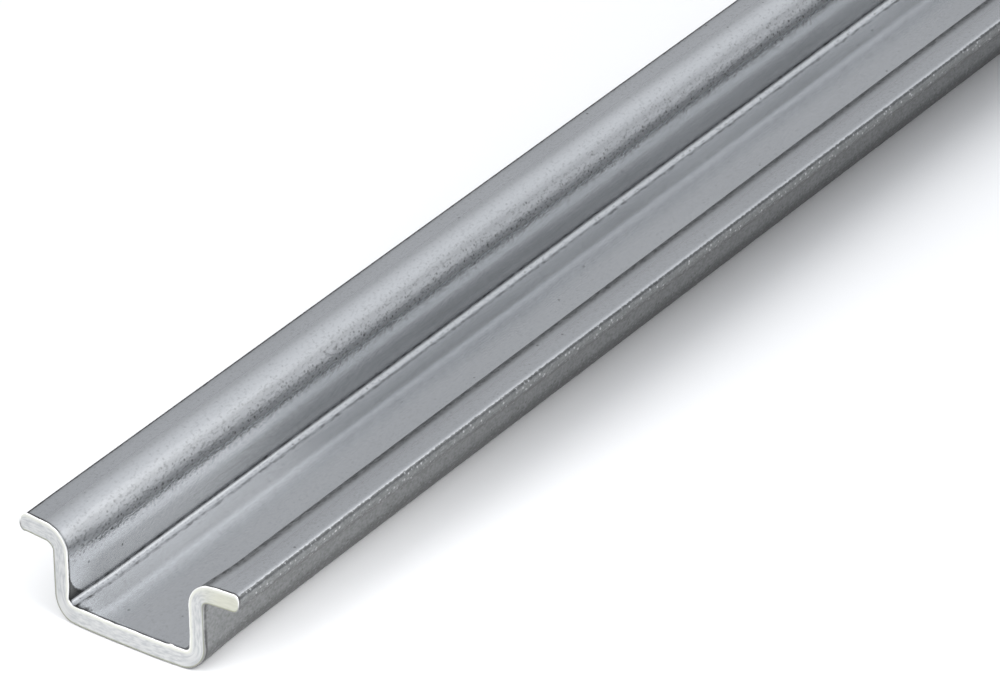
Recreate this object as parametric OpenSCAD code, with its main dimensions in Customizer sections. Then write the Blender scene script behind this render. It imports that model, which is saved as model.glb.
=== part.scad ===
// Top-hat mounting rail, unslotted: one steel strip bent four times along its length.
// The rail lies on its base along Y with the channel open upwards, centred on the origin.

/* [Rail] */
// Length of the rail
rail_length = 1000; // [100:50:2000]
// Overall width across the two flange edges
rail_width = 15; // [14.5:0.1:17]
// Width across the outsides of the two webs
channel_width = 10.5; // [9.5:0.1:11]
// Height from the underside of the base to the tops of the flanges
rail_height = 5.5; // [5:0.1:8]

/* [Strip] */
// Thickness of the steel strip
strip_thickness = 1; // [0.8:0.05:1.1]
// Radius of each bend on its hollow side
bend_inner_r = 0.4; // [0.2:0.05:0.6]
// Radius of each bend on its full side
bend_outer_r = 1.5; // [1.2:0.05:1.7]
// Rounding of the strip's rolled edges, at the flange tips
edge_r = 0.35; // [0.1:0.05:0.4]

/* [Hidden] */
$fn = 64;

half_channel = channel_width / 2;
half_rail = rail_width / 2;
// Each web is drawn in two halves, one with the bend below it and one with the bend above it
web_split = rail_height / 2;
// A flange is measured from the channel face of its web to where its rolled edge starts
flange_reach = half_rail - edge_r - (half_channel - strip_thickness);

// Block with one corner on the origin, and that corner rounded
module rounded_corner(width, height, r) {
    translate([r, 0]) square([width - r, height]);
    translate([0, r]) square([width, height - r]);
    translate([r, r]) circle(r);
}

// Strip with one square bend: its outer corner is on the origin and its legs run along +X and +Y
module bent_strip(leg_x, leg_y) {
    difference() {
        rounded_corner(leg_x, leg_y, bend_outer_r);
        translate([strip_thickness, strip_thickness])
            rounded_corner(leg_x, leg_y, bend_inner_r);
    }
}

// Last of the strip at a flange tip: both corners rounded, joined to the flange at x = 0
module rolled_edge() {
    translate([0, edge_r]) square([edge_r, strip_thickness - 2 * edge_r]);
    for (y = [edge_r, strip_thickness - edge_r])
        translate([0, y]) circle(edge_r);
}

// Right half of the hat section: half the base, a web and a flange
module half_section() {
    translate([half_channel, 0]) mirror([1, 0]) bent_strip(half_channel, web_split);
    translate([half_channel - strip_thickness, rail_height]) mirror([0, 1]) {
        bent_strip(flange_reach, rail_height - web_split);
        translate([flange_reach, 0]) rolled_edge();
    }
}

module hat_section() {
    half_section();
    mirror([1, 0]) half_section();
}

module rail() {
    color([0.66, 0.68, 0.69])
        rotate([90, 0, 0])
            linear_extrude(rail_length, center = true) hat_section();
}

rail();
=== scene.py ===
# %% [markdown]
# # A top-hat mounting rail, dressed in Blender
#
# The part is a straight rail that electrical devices clip onto. A steel strip is bent four times along
# its length and zinc plated, and a length of it is then cut off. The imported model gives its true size
# and place. This lesson gives it a finely bent skin, two cut ends, a plated finish and a small studio.
#
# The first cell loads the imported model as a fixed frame. Everything below is in metres, in that frame.

# %% Load the frame
import math

import bmesh
import bpy
import numpy as np
from mathutils import Matrix, Vector, noise


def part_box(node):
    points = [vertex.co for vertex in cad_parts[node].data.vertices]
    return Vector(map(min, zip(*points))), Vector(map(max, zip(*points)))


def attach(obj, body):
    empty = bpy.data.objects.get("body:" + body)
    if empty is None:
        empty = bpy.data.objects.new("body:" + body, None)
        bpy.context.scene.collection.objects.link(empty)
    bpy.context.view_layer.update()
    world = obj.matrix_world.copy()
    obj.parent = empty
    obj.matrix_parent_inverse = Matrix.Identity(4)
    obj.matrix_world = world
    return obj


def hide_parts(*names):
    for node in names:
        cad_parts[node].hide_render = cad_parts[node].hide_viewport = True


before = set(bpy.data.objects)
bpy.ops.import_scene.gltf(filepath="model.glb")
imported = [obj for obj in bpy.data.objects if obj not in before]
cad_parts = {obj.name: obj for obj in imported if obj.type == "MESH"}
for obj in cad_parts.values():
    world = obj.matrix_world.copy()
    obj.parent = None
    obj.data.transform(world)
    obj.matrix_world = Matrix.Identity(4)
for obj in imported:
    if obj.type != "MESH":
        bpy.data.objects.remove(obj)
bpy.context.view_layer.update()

MM = 0.001
rail_low, rail_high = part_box("rail")
rail_width = rail_high.x - rail_low.x
rail_length = rail_high.y - rail_low.y
rail_height = rail_high.z - rail_low.z
near_end_y = rail_low.y
far_end_y = rail_high.y
print(f"rail: {rail_width / MM:.1f} wide, {rail_height / MM:.1f} high, {rail_length / MM:.0f} mm long")

# %% [markdown]
# ## The camera
#
# A long lens looks down the rail from the right of its near end, so that the whole section of the cut
# shows and the rail runs away to the upper right. The angles, the distance and the focal length were
# worked out from the straight edges in the picture. They could be set by eye, but a fitted camera lets
# every later comparison be about shape and finish. The near end's base is then put on its own pixel.

# %% Place the camera
PICTURE_WIDTH, PICTURE_HEIGHT = 1000, 691
SENSOR_WIDTH_MM = 36.0
camera_azimuth = math.radians(37.35)
camera_elevation = math.radians(31.43)
camera_roll = math.radians(-2.43)
camera_distance = 410.6 * MM
focal_px = 7637.0
near_base_px = (126.1, 647.3)
clip_near = 10 * MM
clip_far = 100.0


def fitted_camera():
    """Camera whose picture shows the near end's base centre at its pixel, seen at the fitted angles."""
    back = Vector((
        math.sin(camera_azimuth) * math.cos(camera_elevation),
        -math.cos(camera_azimuth) * math.cos(camera_elevation),
        math.sin(camera_elevation),
    ))
    level_right = Vector((math.cos(camera_azimuth), math.sin(camera_azimuth), 0))
    level_up = back.cross(level_right)
    right = math.cos(camera_roll) * level_right + math.sin(camera_roll) * level_up
    up = math.cos(camera_roll) * level_up - math.sin(camera_roll) * level_right
    aside = (near_base_px[0] - PICTURE_WIDTH / 2) / focal_px * camera_distance
    above = (PICTURE_HEIGHT / 2 - near_base_px[1]) / focal_px * camera_distance
    near_base = Vector((0, near_end_y, 0))
    place = near_base - aside * right - above * up + camera_distance * back
    lens = bpy.data.cameras.new("camera")
    lens.sensor_width = SENSOR_WIDTH_MM
    lens.lens = focal_px / PICTURE_WIDTH * SENSOR_WIDTH_MM
    lens.clip_start = clip_near
    lens.clip_end = clip_far
    camera = bpy.data.objects.new("camera", lens)
    turn = Matrix((right, up, back)).transposed()
    camera.matrix_world = Matrix.Translation(place) @ turn.to_4x4()
    bpy.context.scene.collection.objects.link(camera)
    return camera


bpy.context.scene.camera = fitted_camera()
print(f"camera: {bpy.context.scene.camera.data.lens:.0f} mm lens at {camera_distance / MM:.0f} mm")

# %% [markdown]
# ## The section of the strip
#
# The section is a strip of even thickness with four bends, so it has two long sides: the upper one,
# which carries the devices, and the lower one, which lies on the panel. Each bend has a small radius on
# its hollow side and a larger one on its full side. The section could be one loop of points. Here the
# two sides are walked in step, with the same number of points on each flat and each bend, because rungs
# between them then fill a cut end with neat quads.

# %% Walk the two sides of the strip
strip_thickness = 1.0 * MM
half_channel = 10.5 * MM / 2
bend_inner_r = 0.4 * MM
bend_outer_r = 1.5 * MM
edge_r = 0.35 * MM
half_rail = rail_width / 2

# How rough the hollow corners and the tips are, where a full bend is 1
SLIGHT_BEND = 0.35

TIP_STEPS = 7
FLANGE_STEPS = 8
BEND_STEPS = 24
WEB_STEPS = 18
FLOOR_HALF_STEPS = 30


def arc(centre, radius, start_deg, end_deg, steps):
    """Points along an arc, from just after its start to its end."""
    turns = [math.radians(start_deg + (end_deg - start_deg) * i / steps) for i in range(1, steps + 1)]
    return [(centre[0] + radius * math.cos(t), centre[1] + radius * math.sin(t)) for t in turns]


def straight(start, end, steps):
    """Points along a straight stretch, from just after its start to its end."""
    shares = [i / steps for i in range(1, steps + 1)]
    return [(start[0] + (end[0] - start[0]) * s, start[1] + (end[1] - start[1]) * s) for s in shares]


def half_side(upper):
    """(x, z, bent) points of one side of the strip's right half, from the middle out to the flange tip."""
    web_x = half_channel - strip_thickness if upper else half_channel
    floor_z = strip_thickness if upper else 0.0
    flange_z = rail_height if upper else rail_height - strip_thickness
    lower_r = bend_inner_r if upper else bend_outer_r
    upper_r = bend_outer_r if upper else bend_inner_r
    lower_bent = SLIGHT_BEND if upper else 1
    tip_turn = 1 if upper else -1
    tip_x = half_rail - edge_r
    runs = [
        (straight((0, floor_z), (web_x - lower_r, floor_z), FLOOR_HALF_STEPS), 0),
        (arc((web_x - lower_r, floor_z + lower_r), lower_r, -90, 0, BEND_STEPS), lower_bent),
        (straight((web_x, floor_z + lower_r), (web_x, flange_z - upper_r), WEB_STEPS), 0),
        (arc((web_x + upper_r, flange_z - upper_r), upper_r, 180, 90, BEND_STEPS), 1),
        (straight((web_x + upper_r, flange_z), (tip_x, flange_z), FLANGE_STEPS), 0),
        (arc((tip_x, flange_z - tip_turn * edge_r), edge_r, 90 * tip_turn, 0, TIP_STEPS), SLIGHT_BEND),
    ]
    points = [(0.0, floor_z, 0)]
    for run, bent in runs:
        points += [(x, z, bent) for x, z in run]
    return points


def whole_side(upper):
    """One side of the strip from the left flange tip to the right one."""
    right = half_side(upper)
    left = [(-x, z, bent) for x, z, bent in reversed(right[1:])]
    return np.array(left + right)


upper_side = whole_side(True)
lower_side = whole_side(False)
rungs = len(upper_side)
print(f"section: {rungs} rungs between the two sides of the strip")

# %% [markdown]
# ## Spring-back
#
# Strip that is bent cold springs back a little when the tool lets go. Away from the cuts the webs
# therefore lean outwards by about 0.3 mm from foot to top, and the flanges dip slightly towards their
# bends. Few would see that on a painted rail, but bright zinc is a mirror, and a degree of lean moves a
# reflection by two. A bump in the material could turn the reflections too. Here the points themselves
# move, so that all views agree. The lean is an angle at a few heights up the web, added up into a shift.

# %% Let the strip spring
lean_reach = 4.0 * MM
lean_step = 0.02 * MM
# Heights up a web in millimetres, with the degrees that it leans outwards there
WEB_LEANS = (
    (1.0, 0), (1.4, 5), (2.2, 4), (2.6, 3.2), (3.0, 0.8), (3.2, 0), (3.35, 0.3), (3.5, 2), (3.8, 7),
    (4.2, 10), (5.2, 0),
)
tip_hold = 1.4 * MM
dip_start = 5.0 * MM
dip_reach = 2.0 * MM
dip_slope = math.tan(math.radians(3.5))


def lean_table():
    """Heights up the section, and how far a leaning web has moved outwards at each."""
    heights = np.arange(0.0, rail_height + lean_step, lean_step)
    known, degrees = zip(*WEB_LEANS)
    slopes = np.tan(np.radians(np.interp(heights, np.array(known) * MM, degrees)))
    shifts = np.cumsum(slopes) * lean_step
    return heights, shifts - shifts[-1] / 2


lean_heights, lean_shifts = lean_table()


def spring(side):
    """How far the points of a side move as the webs lean outwards and the flanges dip at their bends."""
    out, z = np.abs(side[:, 0]), side[:, 1]
    share = np.clip(out / (half_channel / 2), 0, 1) * np.clip((half_rail - out) / tip_hold, 0, 1)
    outwards = share * np.interp(z, lean_heights, lean_shifts)
    along = np.clip((out - dip_start) / dip_reach, 0, 1)
    dip = dip_slope * dip_reach / 2 * (z / rail_height) ** 3 * (1 - along) ** 2
    return np.column_stack([np.sign(side[:, 0]) * outwards, -dip])


def lean_growth(from_cut):
    """0 at a cut, where the shear held the web upright, rising to 1 where it is fully sprung."""
    share = min(1.0, from_cut / lean_reach)
    return share * share * (3 - 2 * share)


upper_spring, lower_spring = spring(upper_side), spring(lower_side)
print(f"spring-back: points of the upper side move by up to {np.abs(upper_spring).max() / MM:.2f} mm")

# %% [markdown]
# ## Girth and bends
#
# The finish has to tell a bend from a flat, because bending roughens the plating. The roughness ends
# close beside a bend, and the grain of the stretched steel reaches further into the flats. Texture
# coordinates from an unwrapped mesh could carry this. Plain numbers at the points are simpler: the
# girth, which is the distance along the strip from its middle, and marks from 0 to 1.

# %% Measure girth and bends
bend_fade = 0.5 * MM
stretch_fade = 0.95 * MM


def girths(side):
    """Distance of each point from the middle of the strip, measured along its side."""
    steps = np.linalg.norm(np.diff(side[:, :2], axis=0), axis=1)
    along = np.concatenate([[0.0], np.cumsum(steps)])
    return along - along[len(along) // 2]


def girth_at(side, steps_from_middle):
    """Girth of the point that lies this many steps to the right of the middle."""
    return girths(side)[len(side) // 2 + steps_from_middle]


def fade_out(side, marked, fade):
    """The marks of a side spread along it, so that each falls to 0 at this distance from its place."""
    along = girths(side)
    away = np.abs(along[:, None] - along[None, :])
    return (marked * np.clip(1 - away / fade, 0, 1)).max(axis=1)


def bend_marks(side):
    """1 on the full bends and less on the slight ones, falling to 0 close beside them."""
    return fade_out(side, side[:, 2], bend_fade)


def stretch_marks(side):
    """1 on the full bends, falling to 0 well into the flats beside them."""
    return fade_out(side, side[:, 2] == 1, stretch_fade)


def side_normals(side, upper):
    """Directions out of the strip along one of its sides."""
    along = np.gradient(side[:, :2], axis=0)
    along /= np.linalg.norm(along, axis=1)[:, None]
    turned = np.stack([-along[:, 1], along[:, 0]], axis=1)
    return turned if upper else -turned


upper_girths, lower_girths = girths(upper_side), girths(lower_side)
upper_bends, lower_bends = bend_marks(upper_side), bend_marks(lower_side)
upper_stretches, lower_stretches = stretch_marks(upper_side), stretch_marks(lower_side)
upper_normals, lower_normals = side_normals(upper_side, True), side_normals(lower_side, False)
print(f"girth: {(upper_girths[-1] - upper_girths[0]) / MM:.1f} mm of strip round the upper side")

# %% [markdown]
# ## Painted shade lines
#
# Painted shade lies in thin lines beside the channel's corners, on the left flange's tip and in a soft
# band on the right flange's bend. It could be painted on an unwrapped mesh. But it runs along the whole
# rail, so it is a mark that depends only on the place round the section.

# %% Mark the painted shade lines
# Painted shade at the web's foot, beside the floor's edge and on the left flange's tip
CREASE_TURN = 0.75
WEB_CREASE = 0.8
FLOOR_CREASE = 0.78
TIP_CREASE = 1.0
TIP_CREASE_END = 0.5
web_crease_wide = 0.1 * MM
floor_crease_wide = 0.14 * MM
crease_apart = 0.05 * MM
# Painted shade in a soft band on the right flange's bend
BEND_SHADE_MOST = 0.82
BEND_SHADE_MIDDLE = 0.66
BEND_SHADE_SPREAD = 0.26


def bell(distance, width):
    """1 at no distance, falling smoothly to about a third at this width."""
    return np.exp(-(distance / width) ** 2)


def shade_line_marks(side):
    """Painted shade beside the channel's corners, on the left flange's tip and on the right flange's bend.
    """
    along = np.abs(girths(side))
    floor_edge = girth_at(side, FLOOR_HALF_STEPS) - crease_apart
    web_foot = girth_at(side, FLOOR_HALF_STEPS + round(CREASE_TURN * BEND_STEPS))
    on_web = WEB_CREASE * bell(along - web_foot, web_crease_wide)
    on_floor = FLOOR_CREASE * bell(along - floor_edge, floor_crease_wide)
    marks = np.maximum(on_web, on_floor)
    marks[:TIP_STEPS] = TIP_CREASE
    marks[TIP_STEPS] = TIP_CREASE_END
    bend_start = len(side) // 2 + FLOOR_HALF_STEPS + BEND_STEPS + WEB_STEPS
    turned = np.arange(BEND_STEPS) / BEND_STEPS
    marks[bend_start:bend_start + BEND_STEPS] = BEND_SHADE_MOST * bell(turned - BEND_SHADE_MIDDLE, BEND_SHADE_SPREAD)
    return marks


upper_shade_lines = shade_line_marks(upper_side)
print(f"dirt: {upper_shade_lines.mean():.2f} on average over the upper side's points")

# %% [markdown]
# ## Slit edges and feet
#
# The strip was slit from a wide coil, and its slit edges are now the flange tips. Their faces carry painted
# shade, darker than the rolled faces, and so does the outer side where it turns under the rail. Separate
# materials would need faces that end on those lines, so these are marks at the points too.

# %% Mark the slit edges and feet
LEFT_SLIT_GROWTH = 3
RIGHT_SLIT_GROWTH = 6
RIGHT_SLIT_DELAY = 1.85
FOOT_FADE = 6


def slit_marks(upper):
    """1 on the tip faces, which carry painted shade: the left edge from its top, the right one from below a
    bright edge.
    """
    marks = np.zeros(rungs)
    rising = np.arange(1, TIP_STEPS + 1) / TIP_STEPS
    marks[:TIP_STEPS] = np.minimum(1, LEFT_SLIT_GROWTH * rising[::-1])
    marks[-TIP_STEPS:] = np.clip(RIGHT_SLIT_GROWTH * rising - RIGHT_SLIT_DELAY, 0, 1) if upper else 1
    return marks


def foot_marks(normals):
    """Painted shade where the lower side starts to turn under, none where it lies flat."""
    under = np.clip(-normals[:, 1], 0, 1)
    return np.cbrt(under) * (1 - under ** FOOT_FADE)


upper_slits, lower_slits = slit_marks(True), slit_marks(False)
lower_feet = foot_marks(lower_normals)
print(f"slit edges: {np.count_nonzero(upper_slits)} of {rungs} points of the upper side")

# %% [markdown]
# ## Grain
#
# Stretched steel turns grainy, so the full side of each bend is rough, most of all where it is steep. The
# hollow corners were pressed hard by the tool and are rough too. A noise texture over the whole rail would
# be simpler, but then the flats would be as grainy as the bends.

# %% Mark the grain
FLAT_GRAIN = 0.05
STEEP_POWER = 1.2
SLIT_GRAIN = 0.35
OUTER_GRAIN = 0.45
CORNER_GRAIN = 0.5
corner_grain_wide = 0.09 * MM


def grain_marks(stretches, normals, slits):
    """Strongest where the bends are steep and the strip is stretched most, with some on the slit edges."""
    steep = 1 - np.abs(normals[:, 1])
    bent = stretches * (FLAT_GRAIN + (1 - FLAT_GRAIN) * steep ** STEEP_POWER)
    return np.maximum(bent, SLIT_GRAIN * slits)


def corner_grains(side):
    """Rough along the floor side of each hollow corner, where the strip was pressed hardest."""
    pressed = girth_at(side, FLOOR_HALF_STEPS + BEND_STEPS // 4)
    return CORNER_GRAIN * bell(np.abs(girths(side)) - pressed, corner_grain_wide)


upper_grains = grain_marks(upper_stretches, upper_normals, upper_slits)
upper_grains = np.maximum(upper_grains, corner_grains(upper_side))
lower_grains = grain_marks(lower_stretches, lower_normals, lower_slits)
lower_grains = np.maximum(lower_grains, OUTER_GRAIN)
print(f"grain: {upper_grains.mean():.2f} on average over the upper side's points")

# %% [markdown]
# ## The cut ends
#
# A length of rail is cut off with a shear, and the cut isn't quite square: the base bows forward, the
# flange tips are dragged back, and the upper rim is rolled over. A plain flat end would be simpler, but it
# would look sawn. So each point knows how far the cut lies behind its foremost point.

# %% Set back the cut
cut_lean = 0.035
cut_skew = 0.015
tip_drag = 0.19 * MM
rim_roll = 0.08 * MM
base_bow = 0.27 * MM
BOW_POWER = 3


def cut_setback(side, normals, upper):
    """How far the cut lies behind its middle plane at each point of one side of the strip."""
    x, z = side[:, 0], side[:, 1]
    tip = np.clip((np.abs(x) - half_channel) / (half_rail - half_channel), 0, 1)
    low = np.clip(2 - z / strip_thickness, 0, 1)
    bow = low * np.clip(1 - np.abs(x / half_channel) ** BOW_POWER, 0, 1)
    roll = np.abs(normals[:, 1]) * (1 if upper else -1)
    return cut_lean * z - cut_skew * x + tip_drag * tip + rim_roll * roll - base_bow * bow


upper_back = cut_setback(upper_side, upper_normals, True)
lower_back = cut_setback(lower_side, lower_normals, False)
foremost = min(upper_back.min(), lower_back.min())
upper_back, lower_back = upper_back - foremost, lower_back - foremost
print(f"cut: set back up to {upper_back.max() / MM:.2f} mm")

# %% [markdown]
# ## The rim of the cut
#
# The shear pushes the upper rim up into a thin uneven lip with one small nub, pulls the lower rim in a
# little and spreads the left flange's tip. A bump in the material could hint at this, but the rim is seen
# against the light and its back slope is a dark line, so it is modelled. Each mark is a small function of
# the place along the strip and the distance from the cut.

# %% Raise the rim
lip_height = 0.06 * MM
lip_peak = 0.05 * MM
lip_reach = 0.28 * MM
LIP_ROUNDING = 0.6
# Lengths of the lip's waves, with their heights as shares of the lip's
LIP_WAVES = ((1.6 * MM, 0.7), (0.42 * MM, 0.5))
# The lip of the near cut and that of the far one have waves of their own
LIP_SEEDS = {True: 3.0, False: 9.0}
rim_break = 0.03 * MM
pull_in = 0.06 * MM
pull_reach = 0.25 * MM
nub_x = 3.0 * MM
nub_height = 0.10 * MM
nub_half_width = 0.16 * MM
tip_spread = 0.18 * MM


def waves(x, z, parts, seed):
    """Smooth noise along the strip, as the sum of waves that are given by their lengths and heights."""
    return sum(
        height * noise.noise(Vector((x / length, z / length, seed + turn)))
        for turn, (length, height) in enumerate(parts)
    )


def lip_share(from_cut):
    """Height of the lip at a distance from the cut, as a share of its peak."""
    if from_cut < lip_peak:
        return 1 - LIP_ROUNDING * (1 - from_cut / lip_peak) ** 2
    return max(0.0, 1 - (from_cut - lip_peak) / lip_reach) ** 2


def side_shift(x, z, upper, from_cut, near):
    """Height of the lip on the upper side here, or how far the lower side is pulled in, as less than 0."""
    if not upper:
        return -pull_in * max(0.0, 1 - from_cut / pull_reach) ** 2
    height = lip_height * (1 + waves(x, z, LIP_WAVES, LIP_SEEDS[near]))
    if near and z < 2 * strip_thickness:
        height += nub_height * math.exp(-((x - nub_x) / nub_half_width) ** 2)
    return height * lip_share(from_cut)


def rim_shift(x, z, upper, from_cut, near):
    """How far the rim stands out of the strip's true side here, in metres."""
    broken = rim_break if from_cut == 0 else 0.0
    tip = min(1.0, max(0.0, 1 + (abs(x) - half_rail) / edge_r))
    nose = tip_spread * lip_share(from_cut) if near and x < 0 else 0.0
    return (1 - tip) * side_shift(x, z, upper, from_cut, near) + tip * nose - broken


print(f"rim: a lip about {lip_height / MM:.2f} mm high, fading over {lip_reach / MM:.2f} mm")

# %% [markdown]
# ## The dark corner
#
# Low on the left web, just behind the near cut, a small corner is coloured dark, and there are a few
# dark spots on the floor beside it. They could be a texture, but their place is tied to the corner, so
# every point knows how far it lies inside a mark. The finish turns that into a soft edge.

# %% Mark the dark corner
corner_long = 2.0 * MM
corner_high = 1.4 * MM
corner_hollow = 1.5
margin_high = 1.8 * MM
margin_wide = 0.14 * MM
# Middle of each dark spot across the rail and along it, and then its half sizes, in millimetres
DARK_SPOTS_MM = ((-3.8, 0.2, 0.22, 0.2), (-3.15, 0.25, 0.3, 0.2), (-3.85, 1.3, 0.14, 0.35))
dark_spot_depth = 0.07 * MM
FAR_OUTSIDE = -1.0 * MM


def corner_depth(x, z, from_cut, near):
    """How far inside the dark corner or a dark spot a point of the upper side lies, in metres."""
    web_x = -(half_channel - strip_thickness)
    above_floor = z - strip_thickness
    if not near or from_cut > 2 * corner_long:
        return FAR_OUTSIDE
    if abs(x - web_x) < bend_inner_r and bend_inner_r / 2 < above_floor < rail_height / 2:
        edge = corner_high * max(0.0, 1 - from_cut / corner_long) ** corner_hollow
        edge += margin_high * math.exp(-from_cut / margin_wide)
        return edge - above_floor - max(0.0, from_cut - corner_long)
    if above_floor == 0:
        offs = [
            math.hypot((x / MM - middle_x) / half_x, (from_cut / MM - middle_y) / half_y)
            for middle_x, middle_y, half_x, half_y in DARK_SPOTS_MM
        ]
        return (1 - min(offs)) * dark_spot_depth
    return FAR_OUTSIDE


print(f"dark corner: {corner_long / MM:.1f} mm along the web, {corner_high / MM:.1f} mm up the cut")

# %% [markdown]
# ## Rings round the strip
#
# The rail is the section drawn out along its length. An extruded curve would give the same plain bar,
# but not the marks of the cut, so the sweep is made point by point. Stations stand close together near
# each cut, where the rim changes, and far apart along the straight middle. At each station a ring of
# points goes once round the strip, and every point carries the marks that the finish needs.

# %% Walk round the strip
NEAREST_STATION = 0.02 * MM
STATION_GROWTH = 1.2
FINE_STEP = 0.16 * MM
FINE_LENGTH = 3.5 * MM
CUT_ROWS = 8
MARKS = ("girth", "bend", "grain", "crease", "slit", "foot", "outer", "corner")


def stations():
    """Distances from a cut to the middle of the rail, close together at the cut."""
    places, step = [0.0], NEAREST_STATION
    while places[-1] + step < rail_length / 2:
        places.append(places[-1] + step)
        step *= STATION_GROWTH
        if places[-1] < FINE_LENGTH:
            step = min(step, FINE_STEP)
    places[-1] = rail_length / 2
    return places


def shifted_side(side, sprung, normals, upper, from_cut, near):
    """One side of the strip at a distance from a cut, as (x, z) points."""
    shifts = [rim_shift(x, z, upper, from_cut, near) for x, z in side[:, :2]]
    return side[:, :2] + lean_growth(from_cut) * sprung + normals * np.array(shifts)[:, None]


def ring_points(from_cut, near):
    """Points round the strip in order, each as (x, z, back) and the values of MARKS."""
    upper = shifted_side(upper_side, upper_spring, upper_normals, True, from_cut, near)
    lower = shifted_side(lower_side, lower_spring, lower_normals, False, from_cut, near)
    corners = [corner_depth(x, z, from_cut, near) for x, z in upper_side[:, :2]]
    none, full, away = np.zeros(rungs), np.ones(rungs), np.full(rungs, FAR_OUTSIDE)
    above = np.column_stack([
        upper, upper_back, upper_girths, upper_bends, upper_grains, upper_shade_lines, upper_slits, none, none,
        corners,
    ])
    below = np.column_stack([
        lower, lower_back, lower_girths, lower_bends, lower_grains, none, lower_slits, lower_feet, full,
        away,
    ])
    shares = [row / CUT_ROWS for row in range(1, CUT_ROWS)]
    right_tip = [above[-1] * (1 - s) + below[-1] * s for s in shares]
    left_tip = [below[0] * (1 - s) + above[0] * s for s in shares]
    return [*above, *right_tip, *below[::-1], *left_tip]


print(f"rings: {2 * len(stations()) - 1} stations along the rail")

# %% [markdown]
# ## Closing the ends
#
# A ladder of quads between the two sides of the strip closes each end, in a second material. It follows
# the bends, where a single face with many corners would shade badly. Its inner points lie a little behind
# the plane of the cut, unevenly, because the shear tears the last of the steel.

# %% Fill a cut
tear_depth = 0.02 * MM
TEAR_MIDDLE = 0.5
# Lengths of the tears, with their depths as shares of the deepest
TEAR_WAVES = ((0.5 * MM, 0.35), (0.15 * MM, 0.25))
# The near cut and the far one have tears of their own
TEAR_SEEDS = {True: 21.0, False: 33.0}


def tear(x, z, near):
    """How far the torn cut lies behind its plane at this place."""
    return tear_depth * (TEAR_MIDDLE + waves(x, z, TEAR_WAVES, TEAR_SEEDS[near]))


def fill_cut(made, marks, ring, near):
    """Closes one end with a ladder of quads, torn a little, in the second material."""
    right_tip = ring[rungs:rungs + CUT_ROWS - 1]
    lower = ring[rungs + CUT_ROWS - 1:2 * rungs + CUT_ROWS - 1][::-1]
    left_tip = ring[2 * rungs + CUT_ROWS - 1:][::-1]
    inward = 1 if near else -1
    rows = [ring[:rungs]]
    for row in range(1, CUT_ROWS):
        share = row / CUT_ROWS
        inner = []
        for top, bottom in zip(ring[1:rungs - 1], lower[1:-1]):
            place = top.co.lerp(bottom.co, share)
            place.y += inward * tear(place.x, place.z, near)
            vertex = made.verts.new(place)
            vertex[marks["girth"]] = top[marks["girth"]]
            vertex[marks["through"]] = share
            inner.append(vertex)
        for vertex in (left_tip[row - 1], right_tip[row - 1]):
            vertex[marks["through"]] = share
        rows.append([left_tip[row - 1], *inner, right_tip[row - 1]])
    for vertex in lower:
        vertex[marks["through"]] = 1.0
    rows.append(lower)
    for first, second in zip(rows, rows[1:]):
        for i in range(rungs - 1):
            face = made.faces.new((first[i], first[i + 1], second[i + 1], second[i]))
            face.material_index = 1


print(f"each cut: {CUT_ROWS} rows of {rungs - 1} quads, torn about {tear_depth / MM:.2f} mm deep")

# %% [markdown]
# ## Sweeping the rail
#
# Quads join each ring to the next, from cut to cut, and the two ends are closed. Every ring could be set
# back as the cut is, but the rings would then stay uneven along the whole metre. So the set-back fades
# away over the first few millimetres.

# %% Sweep the rail
cut_reach = 5.0 * MM
SHARP_EDGE_DEG = 38


def lay_ring(made, marks, from_cut, near):
    """One ring of points in the mesh, set back from its end as the cut is."""
    fade = max(0.0, 1 - from_cut / cut_reach)
    ring = []
    for x, z, back, *values in ring_points(from_cut, near):
        inside = from_cut + fade * back
        vertex = made.verts.new((x, near_end_y + inside if near else far_end_y - inside, z))
        vertex[marks["from_cut"]] = from_cut
        for name, value in zip(MARKS, values):
            vertex[marks[name]] = value
        ring.append(vertex)
    return ring


def sweep_rail():
    """The rail as a mesh: rings of points from cut to cut, joined by quads and closed at the cuts."""
    places = stations()
    walk = [(d, True) for d in places] + [(d, False) for d in reversed(places[:-1])]
    made = bmesh.new()
    marks = {name: made.verts.layers.float.new(name) for name in (*MARKS, "through", "from_cut")}
    rings = [lay_ring(made, marks, from_cut, near) for from_cut, near in walk]
    count = len(rings[0])
    for first, second in zip(rings, rings[1:]):
        for i in range(count):
            j = (i + 1) % count
            made.faces.new((first[i], first[j], second[j], second[i]))
    fill_cut(made, marks, rings[0], True)
    fill_cut(made, marks, rings[-1], False)
    bmesh.ops.recalc_face_normals(made, faces=made.faces)
    mesh = bpy.data.meshes.new("rail_skin")
    made.to_mesh(mesh)
    made.free()
    return mesh


skin = sweep_rail()
skin.shade_smooth()
skin.set_sharp_from_angle(angle=math.radians(SHARP_EDGE_DEG))
rail_skin = bpy.data.objects.new("rail_skin", skin)
bpy.context.scene.collection.objects.link(rail_skin)
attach(rail_skin, "root")
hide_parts("rail")
print(f"rail skin: {len(skin.vertices)} points, {len(skin.polygons)} faces")

# %% [markdown]
# ## A small helper for finishes
#
# Both finishes of the rail are worked out from where a point lies on the part, so grain and lines keep
# their real size. This helper starts a material and gives that place. Textures painted on an unwrapped
# mesh would do the same, but a worked-out finish has no seams and needs no picture.

# %% Start a finish
# Share of a dot's radius within which it has its full strength
DOT_CORE = 0.5


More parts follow.
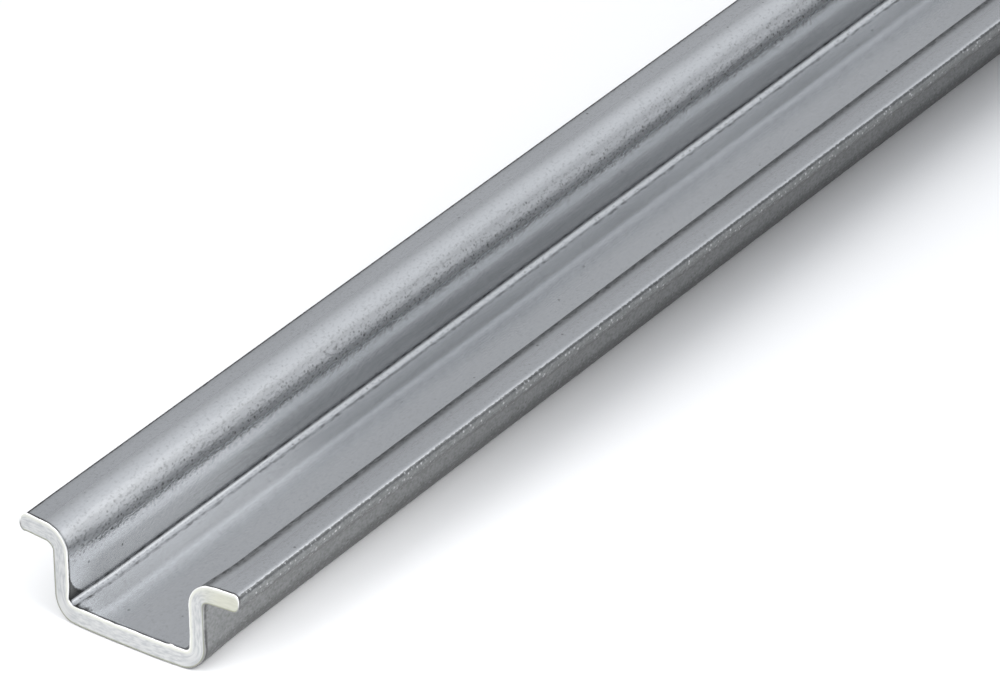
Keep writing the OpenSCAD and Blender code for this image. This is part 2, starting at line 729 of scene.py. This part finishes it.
class Finish:
    """A material under construction, with short words for the nodes that it needs."""

    def __init__(self, name):
        self.material = bpy.data.materials.new(name)
        self.material.use_nodes = True
        self.nodes = self.material.node_tree.nodes
        self.links = self.material.node_tree.links
        self.nodes.clear()
        self.output = self.add("ShaderNodeOutputMaterial")
        self.place = self.add("ShaderNodeTexCoord").outputs["Object"]

    def add(self, kind, **settings):
        """A new node of this kind, with its settings."""
        node = self.nodes.new(kind)
        for name, value in settings.items():
            setattr(node, name, value)
        return node

    def feed(self, socket, value):
        """Links a socket, or sets it where value is a plain number or colour."""
        if isinstance(value, bpy.types.NodeSocket):
            self.links.new(value, socket)
        else:
            socket.default_value = value

    def scaled(self, place, sizes):
        """Place measured in units of the three sizes."""
        mapping = self.add("ShaderNodeMapping")
        self.feed(mapping.inputs["Vector"], place)
        mapping.inputs["Scale"].default_value = [1 / size for size in sizes]
        return mapping.outputs["Vector"]

    def speckle(self, sizes, place=None, detail=2.0):
        """Noise from 0 to 1 whose spots have these three sizes, in metres."""
        texture = self.add("ShaderNodeTexNoise")
        self.feed(texture.inputs["Vector"], self.scaled(place or self.place, sizes))
        texture.inputs["Scale"].default_value = 1.0
        texture.inputs["Detail"].default_value = detail
        return texture.outputs["Fac"]

    def dots(self, apart, radius):
        """1 in the core of round dots that are scattered about this far apart, 0 outside them."""
        cells = self.add("ShaderNodeTexVoronoi")
        self.feed(cells.inputs["Vector"], self.scaled(self.place, (apart, apart, apart)))
        cells.inputs["Scale"].default_value = 1.0
        share = radius / apart
        return self.spread(cells.outputs["Distance"], share, DOT_CORE * share)

    def spread(self, value, low, high, to_low=0.0, to_high=1.0):
        """Value remapped from low..high, with its ends held."""
        ranged = self.add("ShaderNodeMapRange")
        self.feed(ranged.inputs["Value"], value)
        ranged.inputs["From Min"].default_value = low
        ranged.inputs["From Max"].default_value = high
        ranged.inputs["To Min"].default_value = to_low
        ranged.inputs["To Max"].default_value = to_high
        return ranged.outputs["Result"]

    def maths(self, first, how, second):
        """Two values joined by one of Blender's operations, such as ADD or MULTIPLY."""
        node = self.add("ShaderNodeMath", operation=how)
        self.feed(node.inputs[0], first)
        self.feed(node.inputs[1], second)
        return node.outputs["Value"]

    def blend(self, share, first, second):
        """First colour where share is 0, second where it is 1."""
        node = self.add("ShaderNodeMix", data_type="RGBA")
        self.feed(node.inputs["Factor"], share)
        self.feed(node.inputs["A"], first)
        self.feed(node.inputs["B"], second)
        return node.outputs["Result"]

    def mark(self, name):
        """One of the numbers that the mesh carries at its points."""
        return self.add("ShaderNodeAttribute", attribute_name=name).outputs["Fac"]

    def relief(self, height, depth, under=None):
        """Bump of this height map, where 1 stands depth above 0."""
        bump = self.add("ShaderNodeBump")
        bump.inputs["Strength"].default_value = 1.0
        bump.inputs["Distance"].default_value = depth
        self.feed(bump.inputs["Height"], height)
        if under is not None:
            self.feed(bump.inputs["Normal"], under)
        return bump.outputs["Normal"]

    def metal(self, colour, roughness, normal):
        """The finished material: bare metal of this colour, roughness and relief."""
        shader = self.add("ShaderNodeBsdfPrincipled")
        shader.inputs["Metallic"].default_value = 1.0
        self.feed(shader.inputs["Base Color"], colour)
        self.feed(shader.inputs["Roughness"], roughness)
        self.feed(shader.inputs["Normal"], normal)
        self.links.new(shader.outputs["BSDF"], self.output.inputs["Surface"])
        return self.material


print("finishes are worked out in object space, in metres")

# %% [markdown]
# ## Zinc plating
#
# Bright zinc on cold-rolled strip is a soft grey mirror. Its flats are smooth, with faint lines along
# the rolling direction, a slow cloudiness and a few pits. On the bends the stretched steel turns grainy,
# like fine orange peel, with dark specks and small glints. Painted shade darkens the outer side, the slit
# edges and the corners, and the bare cut rims carry a painted highlight. These could be many materials
# with hard borders.
# Here all of it is one metal shader, in which each mark blends in its own colour. The colours come
# first, from bright to dark.

# %% Choose the colours of the zinc
# Bare steel at the cut's rims, made brighter as a painted highlight
BARE_RIM_HIGHLIGHT = (0.84, 0.84, 0.82, 1)
ZINC_GLINT = (0.80, 0.81, 0.82, 1)
ZINC_LIGHT = (0.62, 0.63, 0.64, 1)
ZINC_DARK = (0.575, 0.585, 0.595, 1)
ZINC_SPARK = (0.48, 0.485, 0.49, 1)
ZINC_SPECK = (0.30, 0.305, 0.31, 1)
# Painted shade on the outer side and on the slit edges, each in a light and a dark tone
OUTER_SHADE_LIGHT = (0.29, 0.295, 0.295, 1)
OUTER_SHADE_DARK = (0.225, 0.23, 0.23, 1)
SLIT_SHADE_LIGHT = (0.205, 0.21, 0.21, 1)
SLIT_SHADE_DARK = (0.155, 0.16, 0.16, 1)
ZINC_DULL = (0.15, 0.15, 0.145, 1)
# Painted shade where the outer side turns under
FOOT_SHADE = (0.10, 0.10, 0.10, 1)
# Painted shade in the creases and behind the rims, and the colour of the dark corner
DIRT_AND_SHADE = (0.09, 0.09, 0.09, 1)
print(f"zinc: {ZINC_LIGHT[:3]} on the clean flats, {DIRT_AND_SHADE[:3]} under dirt")

# %% [markdown]
# ## Shaded sides
#
# The outer side is mottled and darkened with painted shade. The slit edges at the flange tips carry
# darker painted shade still, with a few sparks of bright metal, and painted shade darkens the outer side
# where it turns under. A second material would end at a hard line, so the change is a blend that follows
# the marks, roughened by noise.

# %% Shade the sides
MOTTLE_SIZES = (0.17 * MM, 0.22 * MM, 0.17 * MM)
MOTTLE_RANGE = (0.36, 0.64)
SLIT_RAGGED = 1.4
SLIT_RANGE = (0.95, 1.4)
spark_apart = 0.34 * MM
spark_radius = 0.09 * MM
FOOT_SHADE_SPREAD = (0.3, 0.6, 0.7, 1.0)


def shade_sides(zinc, colour, outer, grain, ragged):
    """The colour with painted shade on the mottled outer side, on the slit edges and on the foot."""
    mottle = zinc.spread(zinc.speckle(MOTTLE_SIZES, detail=1.5), *MOTTLE_RANGE)
    slit = zinc.maths(zinc.mark("slit"), "ADD", zinc.maths(ragged, "MULTIPLY", SLIT_RAGGED))
    slit = zinc.spread(slit, *SLIT_RANGE)
    sparks = zinc.maths(zinc.dots(spark_apart, spark_radius), "MULTIPLY", slit)
    foot_shade = zinc.maths(zinc.mark("foot"), "MULTIPLY", zinc.spread(grain, *FOOT_SHADE_SPREAD))
    colour = zinc.blend(outer, colour, zinc.blend(mottle, OUTER_SHADE_DARK, OUTER_SHADE_LIGHT))
    colour = zinc.blend(slit, colour, zinc.blend(mottle, SLIT_SHADE_DARK, SLIT_SHADE_LIGHT))
    colour = zinc.blend(sparks, colour, ZINC_SPARK)
    return zinc.blend(foot_shade, colour, FOOT_SHADE)


print(f"slit edges: sparks about {spark_apart / MM:.2f} mm apart")

# %% [markdown]
# ## Specks, painted shade and the dark corner
#
# The stretched bends are peppered with dark specks, and a few pits lie everywhere. Painted shade fills
# the marked creases in beads, and the dark corner beside the near cut gets the same dark colour. Spots of
# one size look printed, so the specks come from soft noise and the pepper and pits from scattered dots,
# each at its own size.

# %% Speck and shade the zinc
SPECK_RANGE = (0.54, 0.66)
pepper_apart = 0.40 * MM
pepper_radius = 0.10 * MM
pit_apart = 1.5 * MM
pit_radius = 0.1 * MM
BEAD_SIZES = (0.22 * MM, 0.4 * MM, 0.22 * MM)
BEAD_SHARE = 0.9
CREASE_SHADE_RANGE = (0.0, 0.55)
corner_ragged = 0.2 * MM
CORNER_EDGE = (0.04 * MM, 0.16 * MM)
CORNER_INSIDE = (0.12 * MM, 0.4 * MM)


def specked(zinc, colour, grain, grained):
    """The colour with specks and pepper where it is grained, and a few pits all over."""
    specks = zinc.maths(zinc.spread(grain, *SPECK_RANGE), "MULTIPLY", grained)
    pepper = zinc.maths(zinc.dots(pepper_apart, pepper_radius), "MULTIPLY", grained)
    colour = zinc.blend(specks, colour, ZINC_SPECK)
    colour = zinc.blend(pepper, colour, ZINC_DULL)
    return zinc.blend(zinc.dots(pit_apart, pit_radius), colour, ZINC_SPECK)


def shade_creases_and_corner(zinc, colour, ragged):
    """The colour with beads of painted shade in the creases, and with the dark corner, lighter in its
    middle.
    """
    beads = zinc.maths(zinc.speckle(BEAD_SIZES), "MULTIPLY", BEAD_SHARE)
    painted_shade = zinc.spread(zinc.maths(zinc.mark("crease"), "SUBTRACT", beads), *CREASE_SHADE_RANGE)
    corner = zinc.maths(zinc.mark("corner"), "ADD", zinc.maths(ragged, "MULTIPLY", corner_ragged))
    corner_inside = zinc.blend(zinc.spread(corner, *CORNER_INSIDE), DIRT_AND_SHADE, ZINC_DULL)
    colour = zinc.blend(painted_shade, colour, DIRT_AND_SHADE)
    return zinc.blend(zinc.spread(corner, *CORNER_EDGE), colour, corner_inside)


print(f"specks: pepper {pepper_apart / MM:.1f} mm apart, pits {pit_apart / MM:.1f} mm apart")

# %% [markdown]
# ## Bare rims
#
# The shear scrapes the zinc off the rim of each cut. The bare rim is made brighter still as a painted
# highlight, and behind it runs a thin broken line of painted shade. The line could be modelled as a
# groove, but it has hardly any depth, so both are blends that follow the distance from the cut.

# %% Bare the rims
rim_ragged = 0.08 * MM
rim_on_bends = 0.06 * MM
RIM_EDGE = (0.11 * MM, 0.07 * MM)
RIM_OUTER_SPREAD = (0, 1, 1.0, 0.25)
SHADE_SPREAD = (0.32 * MM, 0.2 * MM, 0, 0.9)
BREAK_SIZES = (0.9 * MM, 0.9 * MM, 0.9 * MM)
BREAK_SPREAD = (0.35, 0.5, 0.3, 1.0)


def bare_rims(zinc, bend, outer, ragged):
    """Shares from 0 to 1 of the bare rim with its painted highlight, and of the painted shade line behind
    it.
    """
    uneven = zinc.maths(zinc.mark("from_cut"), "ADD", zinc.maths(ragged, "MULTIPLY", rim_ragged))
    reach = zinc.maths(uneven, "SUBTRACT", zinc.maths(bend, "MULTIPLY", rim_on_bends))
    rim = zinc.maths(zinc.spread(reach, *RIM_EDGE), "MULTIPLY", zinc.spread(outer, *RIM_OUTER_SPREAD))
    broken = zinc.spread(zinc.speckle(BREAK_SIZES), *BREAK_SPREAD)
    return rim, zinc.maths(zinc.spread(uneven, *SHADE_SPREAD), "MULTIPLY", broken)


print(f"rims: bare for about {RIM_EDGE[0] / MM:.2f} mm behind each cut")

# %% [markdown]
# ## The whole plating
#
# The layers go on in this order: plated strip with its clouds and glints, then the painted shade of the
# sides, the specks of the bending, the painted shade in the creases with the dark corner, and last the
# rims of the cut with their painted highlight and the painted shade behind them. Roughness follows the
# bends and the outer side. Grain and rolling lines go into the relief. They are finer than the mesh
# could hold over a metre.

# %% Plate the rail
CLOUD_SIZES = (3 * MM, 14 * MM, 3 * MM)
CLOUD_RANGE = (0.3, 0.7)
CLOUD_GLOSS = (-0.02, 0.03)
GRAIN_SIZES = (0.13 * MM, 0.26 * MM, 0.13 * MM)
GRAIN_SPREAD = (0, 1, 0.1, 0.85)
grain_depth = 0.03 * MM
GLINT_RANGE = (0.42, 0.30)
GLINT_SHARE = 0.5
LINE_SIZES = (0.12 * MM, 30 * MM, 0.12 * MM)
line_depth = 0.0015 * MM
RAGGED_SIZES = (0.2 * MM, 0.2 * MM, 0.2 * MM)
FLAT_GLOSS = 0.14
BEND_GLOSS = 0.36
OUTER_GLOSS = 0.48


def zinc_plating():
    """Metal finish of the rolled surfaces."""
    zinc = Finish("zinc_plating")
    bend, outer = zinc.mark("bend"), zinc.mark("outer")
    clouds = zinc.speckle(CLOUD_SIZES, detail=3)
    grain = zinc.speckle(GRAIN_SIZES, detail=1.5)
    grained = zinc.spread(zinc.mark("grain"), *GRAIN_SPREAD)
    ragged = zinc.speckle(RAGGED_SIZES)
    glinting = zinc.maths(grained, "MULTIPLY", GLINT_SHARE)
    glints = zinc.maths(zinc.spread(grain, *GLINT_RANGE), "MULTIPLY", glinting)
    rim, rim_shade = bare_rims(zinc, bend, outer, ragged)
    colour = zinc.blend(zinc.spread(clouds, *CLOUD_RANGE), ZINC_DARK, ZINC_LIGHT)
    colour = zinc.blend(glints, colour, ZINC_GLINT)
    # Painted shade on the outer side, the slit edges and the foot
    colour = shade_sides(zinc, colour, outer, grain, ragged)
    colour = specked(zinc, colour, grain, grained)
    # Painted shade in the creases, and the dark corner
    colour = shade_creases_and_corner(zinc, colour, ragged)
    # Painted shade behind each rim, then bare rims with a painted highlight
    colour = zinc.blend(rim_shade, colour, DIRT_AND_SHADE)
    colour = zinc.blend(rim, colour, BARE_RIM_HIGHLIGHT)
    roughness = zinc.spread(zinc.maths(bend, "MAXIMUM", rim), 0, 1, FLAT_GLOSS, BEND_GLOSS)
    roughness = zinc.maths(roughness, "MAXIMUM", zinc.maths(outer, "MULTIPLY", OUTER_GLOSS))
    roughness = zinc.maths(roughness, "ADD", zinc.spread(clouds, *CLOUD_RANGE, *CLOUD_GLOSS))
    normal = zinc.relief(zinc.maths(grain, "MULTIPLY", grained), grain_depth)
    normal = zinc.relief(zinc.speckle(LINE_SIZES), line_depth, normal)
    return zinc.metal(colour, roughness, normal)


skin.materials.append(zinc_plating())
print("zinc plating on the rolled surfaces")

# %% [markdown]
# ## Bare cut steel
#
# The plated strip is cut to length after plating, so its two ends show bare steel: paler than the zinc,
# dull and finely torn, with faint streaks along the strip where the shear slid through. It is the same
# kind of metal shader with a rougher surface. Streaks laid out in space would be simpler, but they would
# run straight through the bends. Here they follow the girth, so they turn with the strip.

# %% Make the cut finish
STEEL_LIGHT = (0.575, 0.58, 0.575, 1)
STEEL_DARK = (0.445, 0.455, 0.465, 1)
STEEL_WARM = (0.565, 0.565, 0.46, 1)
STEEL_CREAM = (0.68, 0.68, 0.625, 1)
STEEL_EDGE = (0.28, 0.29, 0.22, 1)
STREAK_SIZES = (0.5 * MM, 0.13 * MM, 1)
STREAK_RANGE = (0.35, 0.6)
STREAK_GLOSS = (0.3, 0.7, 0.55, 0.45)
WARM_SPREAD = (8 * MM, 10 * MM, 0.0, 0.7)
CREAM_RANGE = (0.22, 0.06)
EDGE_RANGE = (0.90, 0.98)
TORN_SIZES = (0.12 * MM, 0.12 * MM, 0.12 * MM)
torn_depth = 0.012 * MM


def cut_steel():
    """Metal finish of the two cuts: streaked, warm at the right flange, cream above and dark below."""
    steel = Finish("cut_steel")
    girth, through = steel.mark("girth"), steel.mark("through")
    strip = steel.add("ShaderNodeCombineXYZ")
    steel.feed(strip.inputs["X"], girth)
    steel.feed(strip.inputs["Y"], steel.maths(through, "MULTIPLY", strip_thickness))
    streaks = steel.speckle(STREAK_SIZES, place=strip.outputs["Vector"], detail=3)
    colour = steel.blend(steel.spread(streaks, *STREAK_RANGE), STEEL_DARK, STEEL_LIGHT)
    colour = steel.blend(steel.spread(girth, *WARM_SPREAD), colour, STEEL_WARM)
    colour = steel.blend(steel.spread(through, *CREAM_RANGE), colour, STEEL_CREAM)
    colour = steel.blend(steel.spread(through, *EDGE_RANGE), colour, STEEL_EDGE)
    roughness = steel.spread(streaks, *STREAK_GLOSS)
    normal = steel.relief(steel.speckle(TORN_SIZES), torn_depth)
    return steel.metal(colour, roughness, normal)


skin.materials.append(cut_steel())
print("bare steel on the two cuts")

# %% [markdown]
# ## Floor
#
# The rail lies on a white table. A white background picture with a shadow catcher would look the same
# from the camera, but the plating has to mirror the table too. So the floor is a large plain sheet:
# matt, to take the rail's shadow, with a little light of its own for the camera and for mirror-like
# metal, which lifts its unshaded part to white.

# %% Lay the floor
FLOOR_HALF = 20.0
FLOOR_COLOUR = (0.91, 0.91, 0.91, 1)
FLOOR_OWN_LIGHT = 0.02


def floor_finish():
    """Matt white with a little light of its own."""
    white = Finish("white_floor")
    matt = white.add("ShaderNodeBsdfDiffuse")
    matt.inputs["Color"].default_value = FLOOR_COLOUR
    path = white.add("ShaderNodeLightPath")
    seen = white.maths(path.outputs["Is Camera Ray"], "ADD", path.outputs["Is Glossy Ray"])
    seen = white.maths(seen, "ADD", path.outputs["Is Transmission Ray"])
    glow = white.add("ShaderNodeEmission")
    white.feed(glow.inputs["Strength"], white.maths(seen, "MULTIPLY", FLOOR_OWN_LIGHT))
    both = white.add("ShaderNodeAddShader")
    white.links.new(matt.outputs["BSDF"], both.inputs[0])
    white.links.new(glow.outputs["Emission"], both.inputs[1])
    white.links.new(both.outputs["Shader"], white.output.inputs["Surface"])
    return white.material


def lay_floor():
    """The sheet under the rail, which belongs to the stage and not to the part."""
    mesh = bpy.data.meshes.new("floor")
    corners = [(-1, -1), (1, -1), (1, 1), (-1, 1)]
    mesh.from_pydata([(x * FLOOR_HALF, y * FLOOR_HALF, 0) for x, y in corners], [], [(0, 1, 2, 3)])
    mesh.materials.append(floor_finish())
    floor = bpy.data.objects.new("floor", mesh)
    bpy.context.scene.collection.objects.link(floor)


lay_floor()
print(f"floor: {2 * FLOOR_HALF:.0f} m square")

# %% [markdown]
# ## Sky
#
# The bends of a polished rail mirror the whole studio as bands along its length. So the sky is a long
# soft box that runs over the rail from end to end: its light depends only on the angle from straight up,
# across the rail. It is bright from overhead to well down on the right, with one narrow brighter strip
# that draws the line in the channel's corner, grey on the left and dim at both horizons, and it is
# slightly cool. Panels of light would give the same bands, but their ends would show in a rail as long
# as this.

# %% Hang the sky
# Degrees from straight up towards the right, with the light that comes from there
SKY_STOPS = (
    (-180, 0.05), (-90, 0.03), (-74, 0.05), (-60, 0.27), (-46, 0.575), (-36, 0.63), (-20, 0.74), (-2, 0.88),
    (24, 0.95), (33, 1.05), (38.5, 0.40), (41.5, 0.28), (45, 1.85), (49.5, 0.58), (55, 0.31), (62, 0.31),
    (70, 0.80), (80, 1.0), (92, 0.85), (102, 0.2), (180, 0.05),
)
SKY_TINT = (0.975, 1.0, 1.045)


def hang_sky():
    """World light that depends only on the angle across the rail, from straight up towards the right."""
    world = bpy.data.worlds.new("studio")
    world.use_nodes = True
    nodes, links = world.node_tree.nodes, world.node_tree.links
    nodes.clear()
    place = nodes.new("ShaderNodeTexCoord")
    parts = nodes.new("ShaderNodeSeparateXYZ")
    angle = nodes.new("ShaderNodeMath")
    angle.operation = "ARCTAN2"
    turn = nodes.new("ShaderNodeMapRange")
    turn.inputs["From Min"].default_value = -math.pi
    turn.inputs["From Max"].default_value = math.pi
    ramp = nodes.new("ShaderNodeValToRGB")
    ramp.color_ramp.interpolation = "EASE"
    stops = ramp.color_ramp.elements
    while len(stops) < len(SKY_STOPS):
        stops.new(0.5)
    for stop, (degrees, level) in zip(stops, SKY_STOPS):
        stop.position = (degrees + 180) / 360
        stop.color = [*(share * level for share in SKY_TINT), 1]
    back = nodes.new("ShaderNodeBackground")
    output = nodes.new("ShaderNodeOutputWorld")
    links.new(place.outputs["Generated"], parts.inputs["Vector"])
    links.new(parts.outputs["X"], angle.inputs[0])
    links.new(parts.outputs["Z"], angle.inputs[1])
    links.new(angle.outputs["Value"], turn.inputs["Value"])
    links.new(turn.outputs["Result"], ramp.inputs["Fac"])
    links.new(ramp.outputs["Color"], back.inputs["Color"])
    links.new(back.outputs["Background"], output.inputs["Surface"])
    bpy.context.scene.world = world


hang_sky()
print(f"sky: {len(SKY_STOPS)} stops across the rail")

# %% [markdown]
# ## Lamps
#
# One wide soft lamp in front on the left lights the cut end and lays the shadow to the right. It is a
# sun lamp with a large angle, because a real softbox at this distance would fade along the rail. Three
# small round lamps stand close to the near end: one behind it on the right, which the channel mirrors
# close to the cut, and a low one on either side, which brighten the first few centimetres.

# %% Place the lamps
LAMP_FROM = Vector((-0.50, -0.62, 0.60)).normalized()
LAMP_STRENGTH = 2.0
LAMP_SPREAD_DEG = 80
SIDE_LAMP_AT = Vector((0.0324, near_end_y + 0.0420, 0.0400))
SIDE_LAMP_SIZE = 0.038
SIDE_LAMP_GLOW = 0.5
FILL_LAMP_SIZE = 0.024
RIGHT_LAMP_AT = Vector((0.028, near_end_y + 0.002, 0.024))
RIGHT_LAMP_GLOW = 5.0
LEFT_LAMP_AT = Vector((-0.026, near_end_y + 0.003, 0.022))
LEFT_LAMP_GLOW = 1.4


def place_soft_lamp():
    """The wide lamp, which shines from LAMP_FROM on everything alike."""
    lamp = bpy.data.lights.new("soft_lamp", "SUN")
    lamp.energy = LAMP_STRENGTH
    lamp.angle = math.radians(LAMP_SPREAD_DEG)
    lamp_object = bpy.data.objects.new("soft_lamp", lamp)
    lamp_object.rotation_mode = "QUATERNION"
    lamp_object.rotation_quaternion = LAMP_FROM.to_track_quat("Z", "Y")
    bpy.context.scene.collection.objects.link(lamp_object)


def place_disk_lamp(name, place, size, glow):
    """A small round lamp that points at the near end and glows this bright, where 1 is white."""
    lamp = bpy.data.lights.new(name, "AREA")
    lamp.shape = "DISK"
    lamp.size = size
    lamp.energy = glow * math.pi * math.pi * (size / 2) ** 2
    lamp_object = bpy.data.objects.new(name, lamp)
    aim = place - Vector((0, near_end_y, 0))
    lamp_object.rotation_mode = "QUATERNION"
    lamp_object.rotation_quaternion = aim.to_track_quat("Z", "Y")
    lamp_object.location = place
    lamp_object.visible_camera = False
    bpy.context.scene.collection.objects.link(lamp_object)


place_soft_lamp()
place_disk_lamp("side_lamp", SIDE_LAMP_AT, SIDE_LAMP_SIZE, SIDE_LAMP_GLOW)
place_disk_lamp("fill_lamp", RIGHT_LAMP_AT, FILL_LAMP_SIZE, RIGHT_LAMP_GLOW)
place_disk_lamp("left_fill_lamp", LEFT_LAMP_AT, FILL_LAMP_SIZE, LEFT_LAMP_GLOW)
bpy.context.scene.view_settings.view_transform = "Standard"
print(f"lamps: {len(bpy.data.lights)}")
